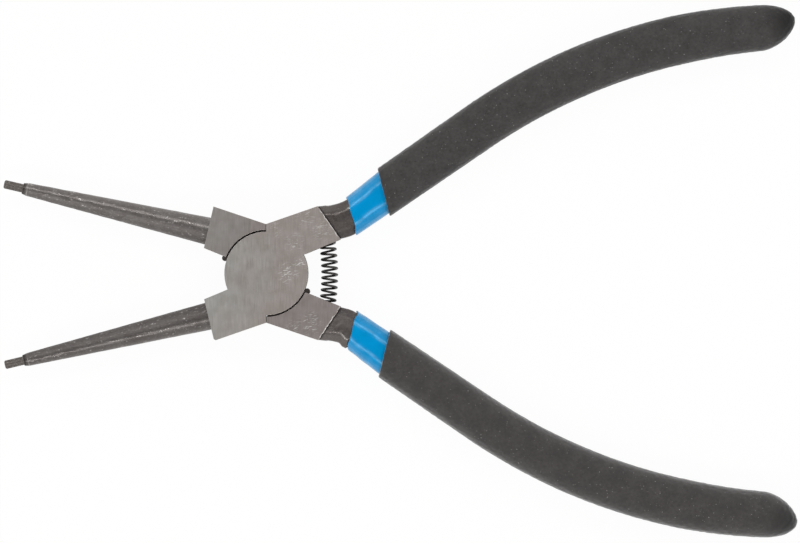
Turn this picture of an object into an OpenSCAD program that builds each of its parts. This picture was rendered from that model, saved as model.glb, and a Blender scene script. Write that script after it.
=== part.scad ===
// Internal circlip pliers, straight, 180 mm class, drawn in the open rest position.
// Frame: origin on the pivot axis at the rear face of the joint, +X towards the handles, +Z to the front.
// The two halves are one forging, used twice: the rear half is the front half turned over about X, and
// keeps two small forging lumps in its inner corners.

/* [Joint head] */
// Thickness of the head over both lapped cheeks
head_t = 9; // [7:0.5:12]
// Diameter of the round cheek on each half
cheek_d = 17.5; // [16:0.5:20]
// Gap between a cheek and the pocket that it turns in
pocket_gap = 0.35; // [0.2:0.05:0.6]
// Gap between the two lapped cheeks
lap_gap = 0.05; // [0.03:0.01:0.1]
// Length of the stop faces outside the cheek
stop_depth = 1.6; // [1.2:0.1:2.4]
// Gap between the stop faces at rest
stop_gap = 0.1; // [0.06:0.02:0.3]
// Length of the jaw block outside the cheek, along the jaw
jaw_block_l = 5.15; // [4:0.25:8]
// Length of the handle block outside the cheek, along the handle
handle_block_l = 8.15; // [7:0.25:10]
// Reach of the handle block to the outside of the handle's axis
handle_block_out = 5.45; // [4.8:0.1:6.5]
// Reach of the handle block to the inside of the handle's axis
handle_block_in = 3; // [2.4:0.1:3.6]
// Angle of the handle block's inner edge from the centre line
inner_edge_angle = 22.3; // [18:0.5:26]
// Diameter of the forging lump in the corner of the rear half's jaw block
jaw_lump_d = 1.3; // [0.9:0.1:1.6]
// Diameter of the forging lump in the corner of the rear half's handle block
handle_lump_d = 1.3; // [0.9:0.1:2]
// Distance of the middle of the forging lumps from the edge of the cheek
lump_out = 0.55; // [0.3:0.05:0.6]
// Height of the forging lumps from the lap face
lump_h = 2.4; // [1.5:0.1:3.5]

/* [Pivot rivet] */
// Diameter of the rivet's shank
rivet_d = 6; // [4:0.25:8]
// Diameter of the two flush heads
rivet_head_d = 8.4; // [8.1:0.1:10]
// Depth of the two countersinks
rivet_head_h = 1.2; // [0.8:0.1:2]
// Running clearance of the rivet in the front half
rivet_gap = 0.03; // [0.01:0.01:0.08]

/* [Jaws] */
// Angle of each jaw's axis from the centre line at rest
jaw_angle = 13.25; // [11:0.25:18]
// Distance of each jaw's axis from the pivot
jaw_offset = 5.88; // [5:0.1:8]
// Length of the tapered jaw
jaw_l = 39; // [25:1:60]
// Diameter of the jaw where it leaves its block
jaw_root_d = 5.8; // [4.5:0.1:7]
// Diameter of the jaw at its nose
jaw_nose_d = 2.75; // [2.6:0.05:4]
// Length of the cone that shoulders the nose down to the tip
nose_cone_l = 1; // [0.5:0.1:2]
// Ledge of the jaw block outside the jaw's root
jaw_ledge_out = 2.4; // [1:0.1:3.5]
// Ledge of the jaw block inside the jaw's root
jaw_ledge_in = 0.75; // [0.4:0.05:1.5]

/* [Tip pins] */
// Diameter of the working tip
tip_d = 1.8; // [1.2:0.05:2.3]
// Length of the working tip
tip_l = 4; // [2.5:0.1:6]
// Diameter of the pin inside the jaw
tip_seat_d = 1.4; // [0.8:0.05:1.7]
// Depth of the pin inside the jaw
tip_seat_l = 8; // [5:0.5:14]
// Chamfer on the end of the tip
tip_chamfer = 0.2; // [0.1:0.05:0.4]

/* [Handles] */
// Angle of each handle from the centre line at rest
handle_angle = 34.4; // [30:0.1:40]
// Straight length of the handle, from the pivot to the bend
handle_straight = 54; // [46:1:66]
// Radius of the bend towards the centre line
bend_r = 119; // [90:1:200]
// Length of the steel along the handle's axis, from the pivot
handle_l = 113; // [95:1:130]
// Depth of the step from the ground face down to the forged shank
ground_step = 0.7; // [0.4:0.1:1.2]
// Reach of the neck to the outside of the handle's axis, at the sleeve
neck_out = 3.2; // [2.5:0.05:3.8]
// Reach of the neck to the inside of the handle's axis, at the sleeve
neck_in = 3.75; // [2.5:0.05:3.8]
// Width of the shank under the grip
shank_w = 7.6; // [6.4:0.1:7.8]
// Thickness of the shank
shank_t = 6; // [5:0.1:6.6]
// Width of the shank at its end
tail_w = 6.2; // [5:0.1:7.2]
// Thickness of the shank at its end
tail_t = 5.2; // [4.6:0.1:6.4]
// Rounding of the shank's end
tail_round = 1.2; // [0.6:0.1:1.6]
// Width of the forged chamfers along the shank
chamfer_w = 1.7; // [1:0.1:2]
// Height of the forged chamfers along the shank
chamfer_t = 1.9; // [1:0.1:2.1]

/* [Return spring] */
// Diameter of the spring's wire
wire_d = 0.5; // [0.35:0.05:0.65]
// Outer diameter of the spring
spring_d = 3.6; // [3:0.1:4]
// Distance from the edge of the cheek to the middle of the bowed spring
spring_out = 4.5; // [4.2:0.1:5.2]
// Radius of the spring's bow
spring_bow_r = 45; // [35:1:80]
// Open turns between the closed ends
spring_turns = 11.5; // [8:0.5:13]
// Closed turns at each end
closed_turns = 1.5; // [1:0.25:2]
// Depth of the spring seats below the handles' inner faces
seat_depth = 2.7; // [2:0.1:3.2]
// Clearance round the spring in its seats
seat_gap = 0.2; // [0.1:0.05:0.3]

/* [Sleeves] */
// Length of bare forging between the ground face and the sleeve
bare_l = 4.75; // [3:0.05:7]
// Wall of the thin inner sleeve
sleeve_wall = 0.4; // [0.25:0.05:0.5]
// Slant of the open ends of sleeve and grip
slant = 20; // [0:1:24]
// Fit clearance between shank, sleeve and grip
fit_gap = 0.06; // [0.05:0.01:0.1]

/* [Grips] */
// Length of sleeve that shows in front of the grip
sleeve_show = 8.25; // [5:0.05:14]
// Width of the grip at its open end
grip_w = 9.9; // [9.6:0.1:12]
// Width of the grip in its middle
grip_mid_w = 10.5; // [9.6:0.1:13]
// Width of the grip where its nose begins
grip_tail_w = 9.5; // [8.8:0.1:12]
// Thickness of the grip
grip_t = 9; // [8.8:0.1:11]
// Length of grip past the end of the steel
grip_over = 12; // [10:0.5:20]
// Length of the rounded nose
nose_l = 8; // [6:0.5:10]
// How far the point of the nose lies to the outside
nose_shift = 1.2; // [0:0.1:1.6]
// Rounding of the grip's lip
lip_round = 0.3; // [0.1:0.05:0.4]

/* [Hidden] */
$fn = 96;
cut = 1;
root_l = 1.5;
root_inset = 0.6;
block_lip = 0.15;
lump_bite = 0.35;
flare_power = 1.8;
grip_power = 2.5;
nose_power = 0.65;
corner_share = 0.22;
bend_steps = 10;
flare_steps = 5;
nose_steps = 8;
ring_sides = 24;
wire_sides = 8;
steps_per_turn = 12;
mid_z = head_t / 2;
cheek_r = cheek_d / 2;
lump_r = cheek_r + lump_out;
stop_y = cheek_r + stop_depth;
jaw_start = cheek_r + jaw_block_l;
nose_u = jaw_start + jaw_l + nose_cone_l;
ground_end = cheek_r + handle_block_l;
sleeve_start = ground_end + bare_l;
grip_start = sleeve_start + sleeve_show;
grip_end = handle_l + grip_over;
nose_start = grip_end - nose_l;

// Values blended along the handle
function clamp01(x) = max(0, min(1, x));
function mix(a, b, t) = a + (b - a) * clamp01(t);
function share(s, a, b) = clamp01((s - a) / (b - a));
function flare(s) = pow(1 - share(s, ground_end, sleeve_start), flare_power);

// Lower-left jaw of the front half: u runs out along the jaw, v away from the centre line
function on_jaw(u, v) = [v * sin(jaw_angle) - u * cos(jaw_angle), -v * cos(jaw_angle) - u * sin(jaw_angle)];

// Upper-right handle of the front half: s runs along the axis, straight and then round the bend
function bend_at(s) = max(0, s - handle_straight) / bend_r * 180 / PI;
function dir_at(s) = handle_angle - bend_at(s);
function normal_at(s) = [-sin(dir_at(s)), cos(dir_at(s))];
function axis_at(s) = min(s, handle_straight) * [cos(handle_angle), sin(handle_angle)]
    + bend_r * (normal_at(s) - normal_at(0));
function on_handle(s, v) = axis_at(s) + v * normal_at(s);

// Slant of the rings: none at the ground face and at the bend, full at the open ends of sleeve and grip
function slant_at(s) = tan(slant)
    * min(share(s, ground_end, sleeve_start), 1 - share(s, grip_start, handle_straight));
function ring(s, section) = [for (p = section)
    let (v = p[0], at = on_handle(s + slant_at(s) * v, v)) [at[0], at[1], mid_z + p[1]]];

// Octagon of a forged bar, grown outwards by g, with each corner rounded into three points
function octagon(o, i, h, cw, ct) = [[o, h - ct], [o - cw, h], [cw - i, h], [-i, h - ct],
                                     [-i, ct - h], [cw - i, -h], [o - cw, -h], [o, ct - h]];
function grown_octagon(o, i, h, g) =
    let (n = [chamfer_t, chamfer_w] / norm([chamfer_t, chamfer_w]),
        cw = chamfer_w + g - g * (1 - n[1]) / n[0],
        ct = chamfer_t + g - g * (1 - n[0]) / n[1])
    octagon(o + g, i + g, h + g, cw, ct);
function rounded(c) = let (n = len(c)) [for (k = [0:n - 1])
    let (before = mix(c[k], c[(k + n - 1) % n], corner_share),
        after = mix(c[k], c[(k + 1) % n], corner_share))
    each [before, (before + 2 * c[k] + after) / 4, after]];

// Half-sizes of the forged shank along the handle
function tail(s) = share(s, handle_straight, handle_l);
function swell(s, neck) = mix(neck, shank_w / 2, share(s, sleeve_start, grip_start));
function shank_reach(s, block, neck) =
    mix(mix(swell(s, neck), block - block_lip, flare(s)), tail_w / 2, tail(s));
function shank_out(s) = shank_reach(s, handle_block_out, neck_out);
function shank_in(s) = shank_reach(s, handle_block_in, neck_in);
function shank_half_t(s) = mix(mix(shank_t / 2, mid_z - ground_step, flare(s)), tail_t / 2, tail(s));
function shank_ring(s, g) = ring(s, rounded(grown_octagon(shank_out(s), shank_in(s), shank_half_t(s), g)));
function tail_ring(g) =
    ring(handle_l + g, rounded(grown_octagon(tail_w / 2, tail_w / 2, tail_t / 2, g - tail_round)));

// Rings of the shank grown by g, from one station to the end of the steel
flare_s = [for (k = [0:flare_steps - 1]) ground_end + bare_l * k / flare_steps];
bend_end = handle_l - tail_round;
bend_s = [for (k = [0:bend_steps]) handle_straight + (bend_end - handle_straight) * k / bend_steps];
stations = concat(flare_s, [sleeve_start, grip_start], bend_s);
function layer(g, from) = concat([for (s = stations) if (s >= from) shank_ring(s, g)], [tail_ring(g)]);
function backwards(a) = [for (k = [len(a) - 1:-1:0]) a[k]];

// Closed surface over a row of rings, each with the same number of points
module skin(rings) {
    n = len(rings[0]);
    last = len(rings) - 1;
    sides = [for (k = [0:last - 1], j = [0:n - 1]) let (a = k * n + j, b = k * n + (j + 1) % n)
        each [[a, a + n, b + n], [a, b + n, b]]];
    caps = [[for (j = [0:n - 1]) j], [for (j = [n - 1:-1:0]) last * n + j]];
    polyhedron([for (r = rings) each r], concat(sides, caps));
}

// Turns a piece of the front half over into its place on the rear half
module turned_over() {
    translate([0, 0, head_t]) rotate([180, 0, 0]) children();
}

// Puts a shape that stands on +Z at u along the jaw's axis, pointing to the tip
module along_jaw(u) {
    at = on_jaw(u, jaw_offset);
    translate([at[0], at[1], mid_z]) rotate([0, -90, jaw_angle]) children();
}

module cheek() {
    translate([0, 0, mid_z + lap_gap / 2]) cylinder(h = mid_z - lap_gap / 2, r = cheek_r);
}

module cheek_pocket() {
    translate([0, 0, -cut]) cylinder(h = cut + mid_z + lap_gap / 2, r = cheek_r + pocket_gap);
}

jaw_block_inner = on_jaw(jaw_start, jaw_offset - jaw_root_d / 2 - jaw_ledge_in);

module jaw_block() {
    outer = on_jaw(jaw_start, jaw_offset + jaw_root_d / 2 + jaw_ledge_out);
    linear_extrude(head_t) polygon([[-stop_gap / 2, 0], [-stop_gap / 2, -stop_y], outer, jaw_block_inner]);
}

handle_block_inner = on_handle(ground_end, -handle_block_in);
inner_face = handle_block_inner * [-sin(inner_edge_angle), cos(inner_edge_angle)];

module handle_block() {
    root_y = handle_block_inner[1] - (handle_block_inner[0] - stop_gap / 2) * tan(inner_edge_angle);
    outer = on_handle(ground_end, handle_block_out);
    linear_extrude(head_t)
        polygon([[stop_gap / 2, root_y], [stop_gap / 2, stop_y], outer, handle_block_inner]);
}

// Lump left by the forging die where a block's inner edge, at the given angle, runs into the cheek
module forging_lump(edge_angle, d) {
    turn = edge_angle - (d / 2 - lump_bite) / lump_r * 180 / PI;
    translate([lump_r * cos(turn), lump_r * sin(turn), mid_z + lap_gap / 2]) cylinder(h = lump_h, d = d);
}

module forging_lumps() {
    forging_lump(180 + atan(jaw_block_inner[1] / jaw_block_inner[0]), jaw_lump_d);
    forging_lump(inner_edge_angle + asin(inner_face / lump_r), handle_lump_d);
}

// Tapered jaw with its shouldered nose, sunk a little into the block
module jaw() {
    nose_face_r = (tip_d + jaw_nose_d) / 4;
    along_jaw(jaw_start) rotate_extrude() polygon([[0, -cut], [jaw_root_d / 2, -cut], [jaw_root_d / 2, 0],
        [jaw_nose_d / 2, jaw_l], [nose_face_r, jaw_l + nose_cone_l], [0, jaw_l + nose_cone_l]]);
}

module tip_bore() {
    along_jaw(nose_u - tip_seat_l) cylinder(h = tip_seat_l + cut, d = tip_seat_d);
}

// Forged shank, from inside the handle block to the end of the steel
module shank() {
    s = ground_end;
    section = grown_octagon(shank_out(s), shank_in(s), shank_half_t(s), -root_inset);
    skin(concat([ring(s - root_l, rounded(section))], layer(0, s)));
}

// Rivet with two flush countersunk heads, grown by a clearance and run past the faces when it cuts
module rivet_form(gap, past) {
    r = rivet_d / 2 + gap;
    head_r = rivet_head_d / 2 + gap;
    far = head_t + past;
    rotate_extrude() polygon([[0, -past], [head_r, -past], [head_r, 0], [r, rivet_head_h],
        [r, head_t - rivet_head_h], [head_r, head_t], [head_r, far], [0, far]]);
}

// Arc of the spring: its middle, and where it meets the handle's inner face and the bottom of the seat
arc_x = cheek_r + spring_out - spring_bow_r;
mouth_angle = inner_edge_angle + asin((inner_face + arc_x * sin(inner_edge_angle)) / spring_bow_r);
seat_angle = mouth_angle + seat_depth / spring_bow_r * 180 / PI;
function arc_at(a) = [arc_x + spring_bow_r * cos(a), spring_bow_r * sin(a), mid_z];

module spring_seat() {
    translate(arc_at(seat_angle)) rotate([90, 0, seat_angle])
        cylinder(h = 2 * seat_depth, d = spring_d + 2 * seat_gap);
}

// Wire of the spring: closed turns at the ends, open turns between, coiled round the bowed arc
coil_l = 2 * seat_angle * PI / 180 * spring_bow_r - wire_d - fit_gap;
closed_pitch = wire_d + fit_gap;
open_pitch = (coil_l - 2 * closed_turns * closed_pitch) / spring_turns;
all_turns = spring_turns + 2 * closed_turns;
function coil_at(t) = closed_pitch * (t - clamped_turns(t)) + open_pitch * clamped_turns(t) - coil_l / 2;
function clamped_turns(t) = max(0, min(spring_turns, t - closed_turns));
function wire_ring(t) = let (a = coil_at(t) / spring_bow_r * 180 / PI, w = 360 * t,
    along = [-sin(a), cos(a), 0], out = [cos(a) * cos(w), sin(a) * cos(w), sin(w)],
    middle = arc_at(a) + out * (spring_d - wire_d) / 2)
    [for (k = [0:wire_sides - 1]) let (f = 360 * k / wire_sides)
        middle + wire_d / 2 * (cos(f) * out - sin(f) * along)];

wire_rings = [for (k = [0:all_turns * steps_per_turn]) wire_ring(k / steps_per_turn)];

// One forged half: cheek, two blocks, jaw and shank, if asked its lumps, less its pocket, bores and seat
module half(rivet_clearance, lumps) {
    difference() {
        union() {
            cheek();
            jaw_block();
            handle_block();
            jaw();
            shank();
            if (lumps) forging_lumps();
        }
        cheek_pocket();
        rivet_form(rivet_clearance, cut);
        spring_seat();
        tip_bore();
    }
}

// Shouldered hardened pin, pressed into the nose of the jaw
module tip_pin() {
    r = tip_d / 2;
    seat_r = tip_seat_d / 2;
    along_jaw(nose_u) rotate_extrude() polygon([[0, -tip_seat_l], [seat_r, -tip_seat_l], [seat_r, 0],
        [r, 0], [r, tip_l - tip_chamfer], [r - tip_chamfer, tip_l], [0, tip_l]]);
}

// Thin sleeve over the shank, closed at the far end
module sleeve() {
    skin(concat(backwards(layer(fit_gap, sleeve_start)), layer(fit_gap + sleeve_wall, sleeve_start)));
}

// Section of the grip: a rounded oval, f times its size and shifted outwards
function grip_half_w(s) = mix(mix(grip_w, grip_mid_w, share(s, grip_start, (grip_start + grip_end) / 2)),
    grip_tail_w, share(s, handle_l - grip_over, grip_end)) / 2;
function bulge(x) = sign(x) * pow(abs(x), 2 / grip_power);
function oval(a, b, shift) = [for (k = [0:ring_sides - 1]) let (f = 360 * (k + 0.5) / ring_sides)
    [shift + a * bulge(cos(f)), b * bulge(sin(f))]];
function nose_share(t) = pow(1 - t * t, nose_power);
function grip_ring(s, inset) = ring(s, oval(grip_half_w(s) - inset, grip_t / 2 - inset, 0));
function nose_ring(t) = ring(nose_start + nose_l * t,
    oval(grip_half_w(nose_start) * nose_share(t), grip_t / 2 * nose_share(t), nose_shift * t * t));

// Soft outer grip with a rounded nose, hollow where it covers the sleeve
module grip() {
    hollow = layer(2 * fit_gap + sleeve_wall, grip_start);
    lip = [grip_ring(grip_start, lip_round), grip_ring(grip_start + lip_round, 0)];
    body = [for (s = bend_s) grip_ring(s, 0)];
    nose = [for (k = [0:nose_steps]) let (t = 1 - pow(1 - k / (nose_steps + 1), 2)) nose_ring(t)];
    skin(concat(backwards(hollow), lip, body, nose));
}

module rear_half() { color("#8d8a86") turned_over() half(0, true); }
module front_half() { color("#979490") half(rivet_gap, false); }
module pivot_rivet() { color("#a5a29d") rivet_form(0, 0); }
module return_spring() { color("#3a3a3c") skin(wire_rings); }
module rear_tip_pin() { color("#4a4846") turned_over() tip_pin(); }
module front_tip_pin() { color("#4a4846") tip_pin(); }
module rear_sleeve() { color("#0a86c8") turned_over() sleeve(); }
module front_sleeve() { color("#0a86c8") sleeve(); }
module rear_grip() { color("#4b4947") turned_over() grip(); }
module front_grip() { color("#4b4947") grip(); }

rear_half();
front_half();
pivot_rivet();
return_spring();
rear_tip_pin();
front_tip_pin();
rear_sleeve();
front_sleeve();
rear_grip();
front_grip();
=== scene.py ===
import math

import bmesh
import bpy
import numpy as np
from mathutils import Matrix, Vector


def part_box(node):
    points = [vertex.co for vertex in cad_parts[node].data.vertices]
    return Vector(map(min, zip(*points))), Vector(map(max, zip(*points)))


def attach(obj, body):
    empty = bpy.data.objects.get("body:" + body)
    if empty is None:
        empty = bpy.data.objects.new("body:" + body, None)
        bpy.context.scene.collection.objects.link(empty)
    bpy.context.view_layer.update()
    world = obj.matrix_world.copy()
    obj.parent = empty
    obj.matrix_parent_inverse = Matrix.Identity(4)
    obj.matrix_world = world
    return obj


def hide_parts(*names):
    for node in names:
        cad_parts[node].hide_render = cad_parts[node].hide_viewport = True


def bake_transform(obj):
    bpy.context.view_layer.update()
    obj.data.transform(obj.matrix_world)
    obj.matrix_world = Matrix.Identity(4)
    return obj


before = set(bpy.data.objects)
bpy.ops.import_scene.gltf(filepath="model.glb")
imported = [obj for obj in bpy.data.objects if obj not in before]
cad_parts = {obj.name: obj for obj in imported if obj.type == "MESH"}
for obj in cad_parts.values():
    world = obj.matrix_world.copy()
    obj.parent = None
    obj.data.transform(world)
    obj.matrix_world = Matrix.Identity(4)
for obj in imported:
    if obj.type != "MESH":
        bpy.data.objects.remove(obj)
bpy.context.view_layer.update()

# The imported solids are the pliers at real size, lying on the rear face of the joint, with the pivot axis
# through the origin.
MM = 0.001
head_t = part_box("front_half")[1].z
mid_z = head_t / 2

# The camera hangs straight above the open pliers, as for a catalogue picture. A long lens from well back
# keeps the view close to parallel, so that the face of the joint and the grips show at one scale.
picture = np.array([800, 543])
pivot_pixel = np.array([266.1, 272.9])
picture_w = 168 * MM
picture_turn = math.radians(0.25)
stand_off = 1.2
right, down = ((picture - 1) / 2 - pivot_pixel) * picture_w / picture[0]
camera_data = bpy.data.cameras.new("picture_camera")
camera_data.lens = camera_data.sensor_width * stand_off / picture_w
camera = bpy.data.objects.new("picture_camera", camera_data)
camera.location = (right * math.cos(picture_turn) - down * math.sin(picture_turn),
                   -right * math.sin(picture_turn) - down * math.cos(picture_turn), mid_z + stand_off)
camera.rotation_euler = (0, 0, -picture_turn)
bpy.context.scene.collection.objects.link(camera)
bpy.context.scene.camera = camera
bpy.context.scene.view_settings.view_transform = "Standard"

# The two halves are one drop forging used twice, the rear one turned over: a round cheek between two
# blocks, a tapered round jaw and an eight-sided shank. The forging is blackened all over, and then both
# faces of the joint are ground flat and bright, with the edges just broken.
edge_break = 0.03 * MM
lip_break = 0.08 * MM
break_steps = 2
knocked_corner = 0.55 * MM
knocked_steps = 5
end_trim = 0.02 * MM
weld = 0.0001 * MM
flat_angle = math.radians(0.5)
falling_angle = math.radians(40)
half_crease = math.radians(14)
rivet_clear = 4.6 * MM
jaw_angle = math.radians(13.25)
jaw_offset = 5.88 * MM
jaw_start = 13.9 * MM
jaw_l = 39 * MM
jaw_sink = 1 * MM
jaw_root_r = 2.9 * MM
jaw_nose_r = 1.375 * MM
jaw_relief = 0.01 * MM
jaw_relief_l = 0.9 * MM
jaw_draw = 0.3
jaw_sides = 96
jaw_rows = 160
nose_cone_l = 1 * MM
nose_face_r = 1.14 * MM
nose_edge = 0.12 * MM
nose_u = jaw_start + jaw_l + nose_cone_l
jaw_ledge = 2.4 * MM
jaw_corner_out = jaw_offset + jaw_root_r + jaw_ledge
tip_seat_r = 0.7 * MM
tip_seat_l = 8 * MM
handle_angle = math.radians(34.4)
handle_straight = 54 * MM
bend_r = 119 * MM
handle_l = 113 * MM
ground_end = 16.9 * MM
shank_sink = 0.3 * MM
shank_relief = 0.012 * MM
shank_relief_l = 1.2 * MM
relief_start = 0.2 * MM
relief_fade = 1 * MM
bare_rows = 56
covered_rows = 24
sleeve_start = 21.65 * MM
grip_start = 29.9 * MM
slant = math.tan(math.radians(20))
block_out = 5.3 * MM
block_in = 2.85 * MM
neck_out = 3.2 * MM
neck_in = 3.75 * MM
flash_start = 19.95 * MM
flash_top = 20.65 * MM
flash_end = 21.3 * MM
flash_h = 0.5 * MM
shank_half_w = 3.8 * MM
shank_half_t = 3 * MM
ground_step = 0.7 * MM
root_half_t = mid_z - ground_step
tail_half_w = 3.1 * MM
tail_half_t = 2.6 * MM
tail_round = 1.2 * MM
chamfer_w = 1.7 * MM
chamfer_t = 1.9 * MM
corner_r = 1.4 * MM
least_corner = 0.1 * MM
root_lip = 0.13 * MM
root_lip_l = 1.3 * MM
root_lip_fall = 0.3 * MM
section_arc = 8
section_flat = 8
flare_power = 1.8
highlight_angle = math.radians(9)
highlight_start = 0.4 * MM
highlight_full = 2 * MM
near_core = 0.3
inside_from = -0.2
inside_to = 0.5
ripple_spread = (0.7, 1.4)


def display(red, green, blue):
    """Linear colour of a display colour given from 0 to 255."""
    value = np.array([red, green, blue]) / 255
    return (*np.where(value > 0.04045, ((value + 0.055) / 1.055) ** 2.4, value / 12.92), 1.0)


def finish(name, sockets):
    """Material with one Principled shader, whose even values stand on its own sockets."""
    material = bpy.data.materials.new(name)
    material.use_nodes = True
    shader = material.node_tree.nodes["Principled BSDF"]
    for socket, value in sockets.items():
        shader.inputs[socket].default_value = value
    return material


def add(material, kind, inputs, **options):
    """Adds a shader node: inputs are values or the sockets that feed it, options are its settings."""
    made = material.node_tree.nodes.new("ShaderNode" + kind)
    for option, value in options.items():
        setattr(made, option, value)
    for socket, value in inputs.items():
        if isinstance(value, bpy.types.NodeSocket):
            material.node_tree.links.new(value, made.inputs[socket])
        else:
            made.inputs[socket].default_value = value
    return made


def feed(material, sockets):
    """Links the given sockets to the inputs of the material's shader."""
    shader = material.node_tree.nodes["Principled BSDF"]
    for socket, source in sockets.items():
        material.node_tree.links.new(source, shader.inputs[socket])


def laid(material, size, turn=0.0, centre=(0, 0, 0)):
    """Object coordinates in units of the given size, turned about Z round a centre."""
    place = add(material, "TexCoord", {}).outputs["Object"]
    return add(material, "Mapping", {"Vector": place, "Location": centre, "Rotation": (0, 0, turn),
                                     "Scale": size}, vector_type="TEXTURE").outputs[0]


def grain(material, size, turn=0.0, detail=2.0):
    """Noise in lumps of the given length, width and height, with the length turned about Z."""
    place = laid(material, size, turn)
    return add(material, "TexNoise", {"Vector": place, "Scale": 1.0, "Detail": detail}).outputs[0]


def even(size):
    """The same size along all three axes."""
    return (size, size, size)


def ranged(material, value, start, end, low, high):
    """Straight-line change from low to high while the value goes from start to end."""
    return add(material, "MapRange", {"Value": value, "From Min": start, "From Max": end,
                                      "To Min": low, "To Max": high}).outputs[0]


def along(material, size, turn, start):
    """Distance along a line through the origin, turned about Z: 0 at the start, and 1 one size further."""
    centre = (start * math.cos(turn), start * math.sin(turn), 0)
    return add(material, "SeparateXYZ", {0: laid(material, even(size), turn, centre)}).outputs["X"]


def near(material, centre, radius, most):
    """Share that is at its most in a core round a centre and falls from there to 0 at the radius."""
    away = add(material, "VectorMath", {0: laid(material, even(radius), 0.0, centre)}, operation="LENGTH")
    return ranged(material, away.outputs["Value"], near_core, 1.0, most, 0.0)


def worked(material, operation, first, second):
    """Sum, difference, product or larger of two values."""
    return add(material, "Math", {0: first, 1: second}, operation=operation).outputs[0]


def inside(material, turn, axis, way):
    """Share that goes from 0 outside to 1 inside of an axis, over a band in millimetres. The axis is turned
    about Z and passes the origin at a distance, and the way, 1 or -1, says on which side the inside lies."""
    centre = (-axis * math.sin(turn), axis * math.cos(turn), 0)
    across = add(material, "SeparateXYZ", {0: laid(material, even(MM), turn, centre)}).outputs["Y"]
    return ranged(material, across, inside_from * way, inside_to * way, 0.0, 1.0)


def graded(material, value, *stops):
    """Colour that a value picks between stops, each a value and a colour."""
    ramp = add(material, "ValToRGB", {"Fac": value})
    elements = ramp.color_ramp.elements
    while len(elements) < len(stops):
        elements.new(1.0)
    for element, (place, colour) in zip(elements, stops):
        element.position = place
        element.color = colour
    return ramp.outputs[0]


def layered(material, share, under, over, blend_type="MIX"):
    """Colour of one layer over another, by a share from 0 to 1."""
    inputs = {0: share, 6: under, 7: over}
    return add(material, "Mix", inputs, data_type="RGBA", blend_type=blend_type).outputs[2]


def embossed(material, height, depth):
    """Normal of a surface that rises by the depth where the height goes from 0 to 1."""
    return add(material, "Bump", {"Strength": 1.0, "Distance": depth, "Height": height}).outputs[0]


black = display(0, 0, 0)
white = display(255, 255, 255)
grind_line = (0.12 * MM, 4 * MM, 1 * MM)
grind_depth = 0.002 * MM
grind_shade = display(244, 244, 244)
drift_start = -18 * MM
drift_l = 24 * MM
patch_l = 6 * MM
stain_l = 2.2 * MM
stain_shade = display(243, 242, 240)
scuff_dab = 0.34 * MM
scuff_stroke = (1.6 * MM, 0.28 * MM, 1 * MM)
scuff_slopes = (math.radians(26), math.radians(-4))
scuff_bright = display(255, 253, 250)
run_out_l = 2 * MM
run_out_back = 1.4 * MM
run_out_wave_l = 1.1 * MM
run_out_wave = 0.4
highlight_gap_l = 1.3 * MM
run_out_highlight_paint = display(250, 247, 244)
unground_and_shade_dark = display(84, 79, 76)


def scuffed(material):
    """Scuffs on a ground face: short thin strokes at two low slopes, which are the ridges of a drawn-out
    noise, and small dabs."""
    marks = ranged(material, grain(material, even(scuff_dab), detail=1), 0.66, 0.72, 0.0, 0.8)
    for slope in scuff_slopes:
        ridges = grain(material, scuff_stroke, slope, detail=1)
        marks = worked(material, "MAXIMUM", marks, ranged(material, ridges, 0.61, 0.69, 0.0, 1.0))
    return marks


def ground_steel(name, side, cool, warm, knocks):
    """Steel off a surface grinder: fine upright lines, a tone that drifts from cool to warm across the head,
    faint stains, scuffs round the places that were knocked, and a painted highlight: a wavy, broken bright
    line along the lip where the grinding runs out. Past it lies the dark of the unground forging, which also
    paints the shade at the step down to the shank. A knock is a place, a radius and the most that its scuffs
    show."""
    material = finish(name, {"Metallic": 1.0})
    patches = grain(material, even(patch_l), detail=3)
    lines = grain(material, grind_line, detail=2)
    drift = worked(material, "ADD", along(material, drift_l, 0.0, drift_start), patches)
    drift = ranged(material, drift, 0.8, 1.3, 0.0, 1.0)
    tone = graded(material, drift, (0.0, cool), (1.0, warm))
    shade = graded(material, lines, (0.3, grind_shade), (0.7, white))
    stains = graded(material, grain(material, even(stain_l), detail=3), (0.35, stain_shade), (0.6, white))
    steel = layered(material, 1.0, layered(material, 1.0, tone, stains, "MULTIPLY"), shade, "MULTIPLY")
    marks = scuffed(material)
    for x, y, radius, most in knocks:
        knocked = near(material, (x * MM, y * MM, head_t), radius * MM, most)
        steel = layered(material, worked(material, "MULTIPLY", marks, knocked), steel, scuff_bright)
    wobble = grain(material, even(run_out_wave_l), detail=2)
    run_out = along(material, run_out_l, side * handle_angle, ground_end - run_out_back)
    run_out = worked(material, "ADD", run_out, worked(material, "MULTIPLY", wobble, run_out_wave))
    # Painted highlight: a bright line along the lip at the run-out, broken by noise. Then the unground dark,
    # which also paints the shade of the step.
    run_out_highlight = graded(material, run_out, (0.78, black), (0.82, white), (0.88, white), (0.9, black))
    gaps = ranged(material, grain(material, even(highlight_gap_l), detail=1), 0.4, 0.6, 0.15, 0.9)
    steel = layered(material, worked(material, "MULTIPLY", run_out_highlight, gaps), steel, run_out_highlight_paint)
    unground_and_shade = ranged(material, run_out, 0.89, 0.92, 0.0, 1.0)
    steel = layered(material, unground_and_shade, steel, unground_and_shade_dark)
    feed(material, {"Base Color": steel, "Roughness": ranged(material, lines, 0.3, 0.7, 0.34, 0.42),
                    "Normal": embossed(material, lines, grind_depth)})
    return material


forged_hill = (1.3 * MM, 0.4 * MM, 0.4 * MM)
forged_pit = 0.4 * MM
forged_depth = 0.014 * MM
oxide_cloud = 3 * MM
pit_shade = display(236, 234, 233)
rubbed_bright = display(205, 201, 198)
shank_shade = display(226, 222, 221)
bared_dash = 0.7 * MM
bared_highlight = display(214, 210, 206)
shade_band_l = 3 * MM
shade_band_back = 1 * MM
root_painted_shade = display(84, 80, 78)
cone_painted_shade = display(160, 156, 154)
nose_patch = 1.1 * MM
nose_ring_highlight = display(214, 210, 207)
dull_rough = 0.22


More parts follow.
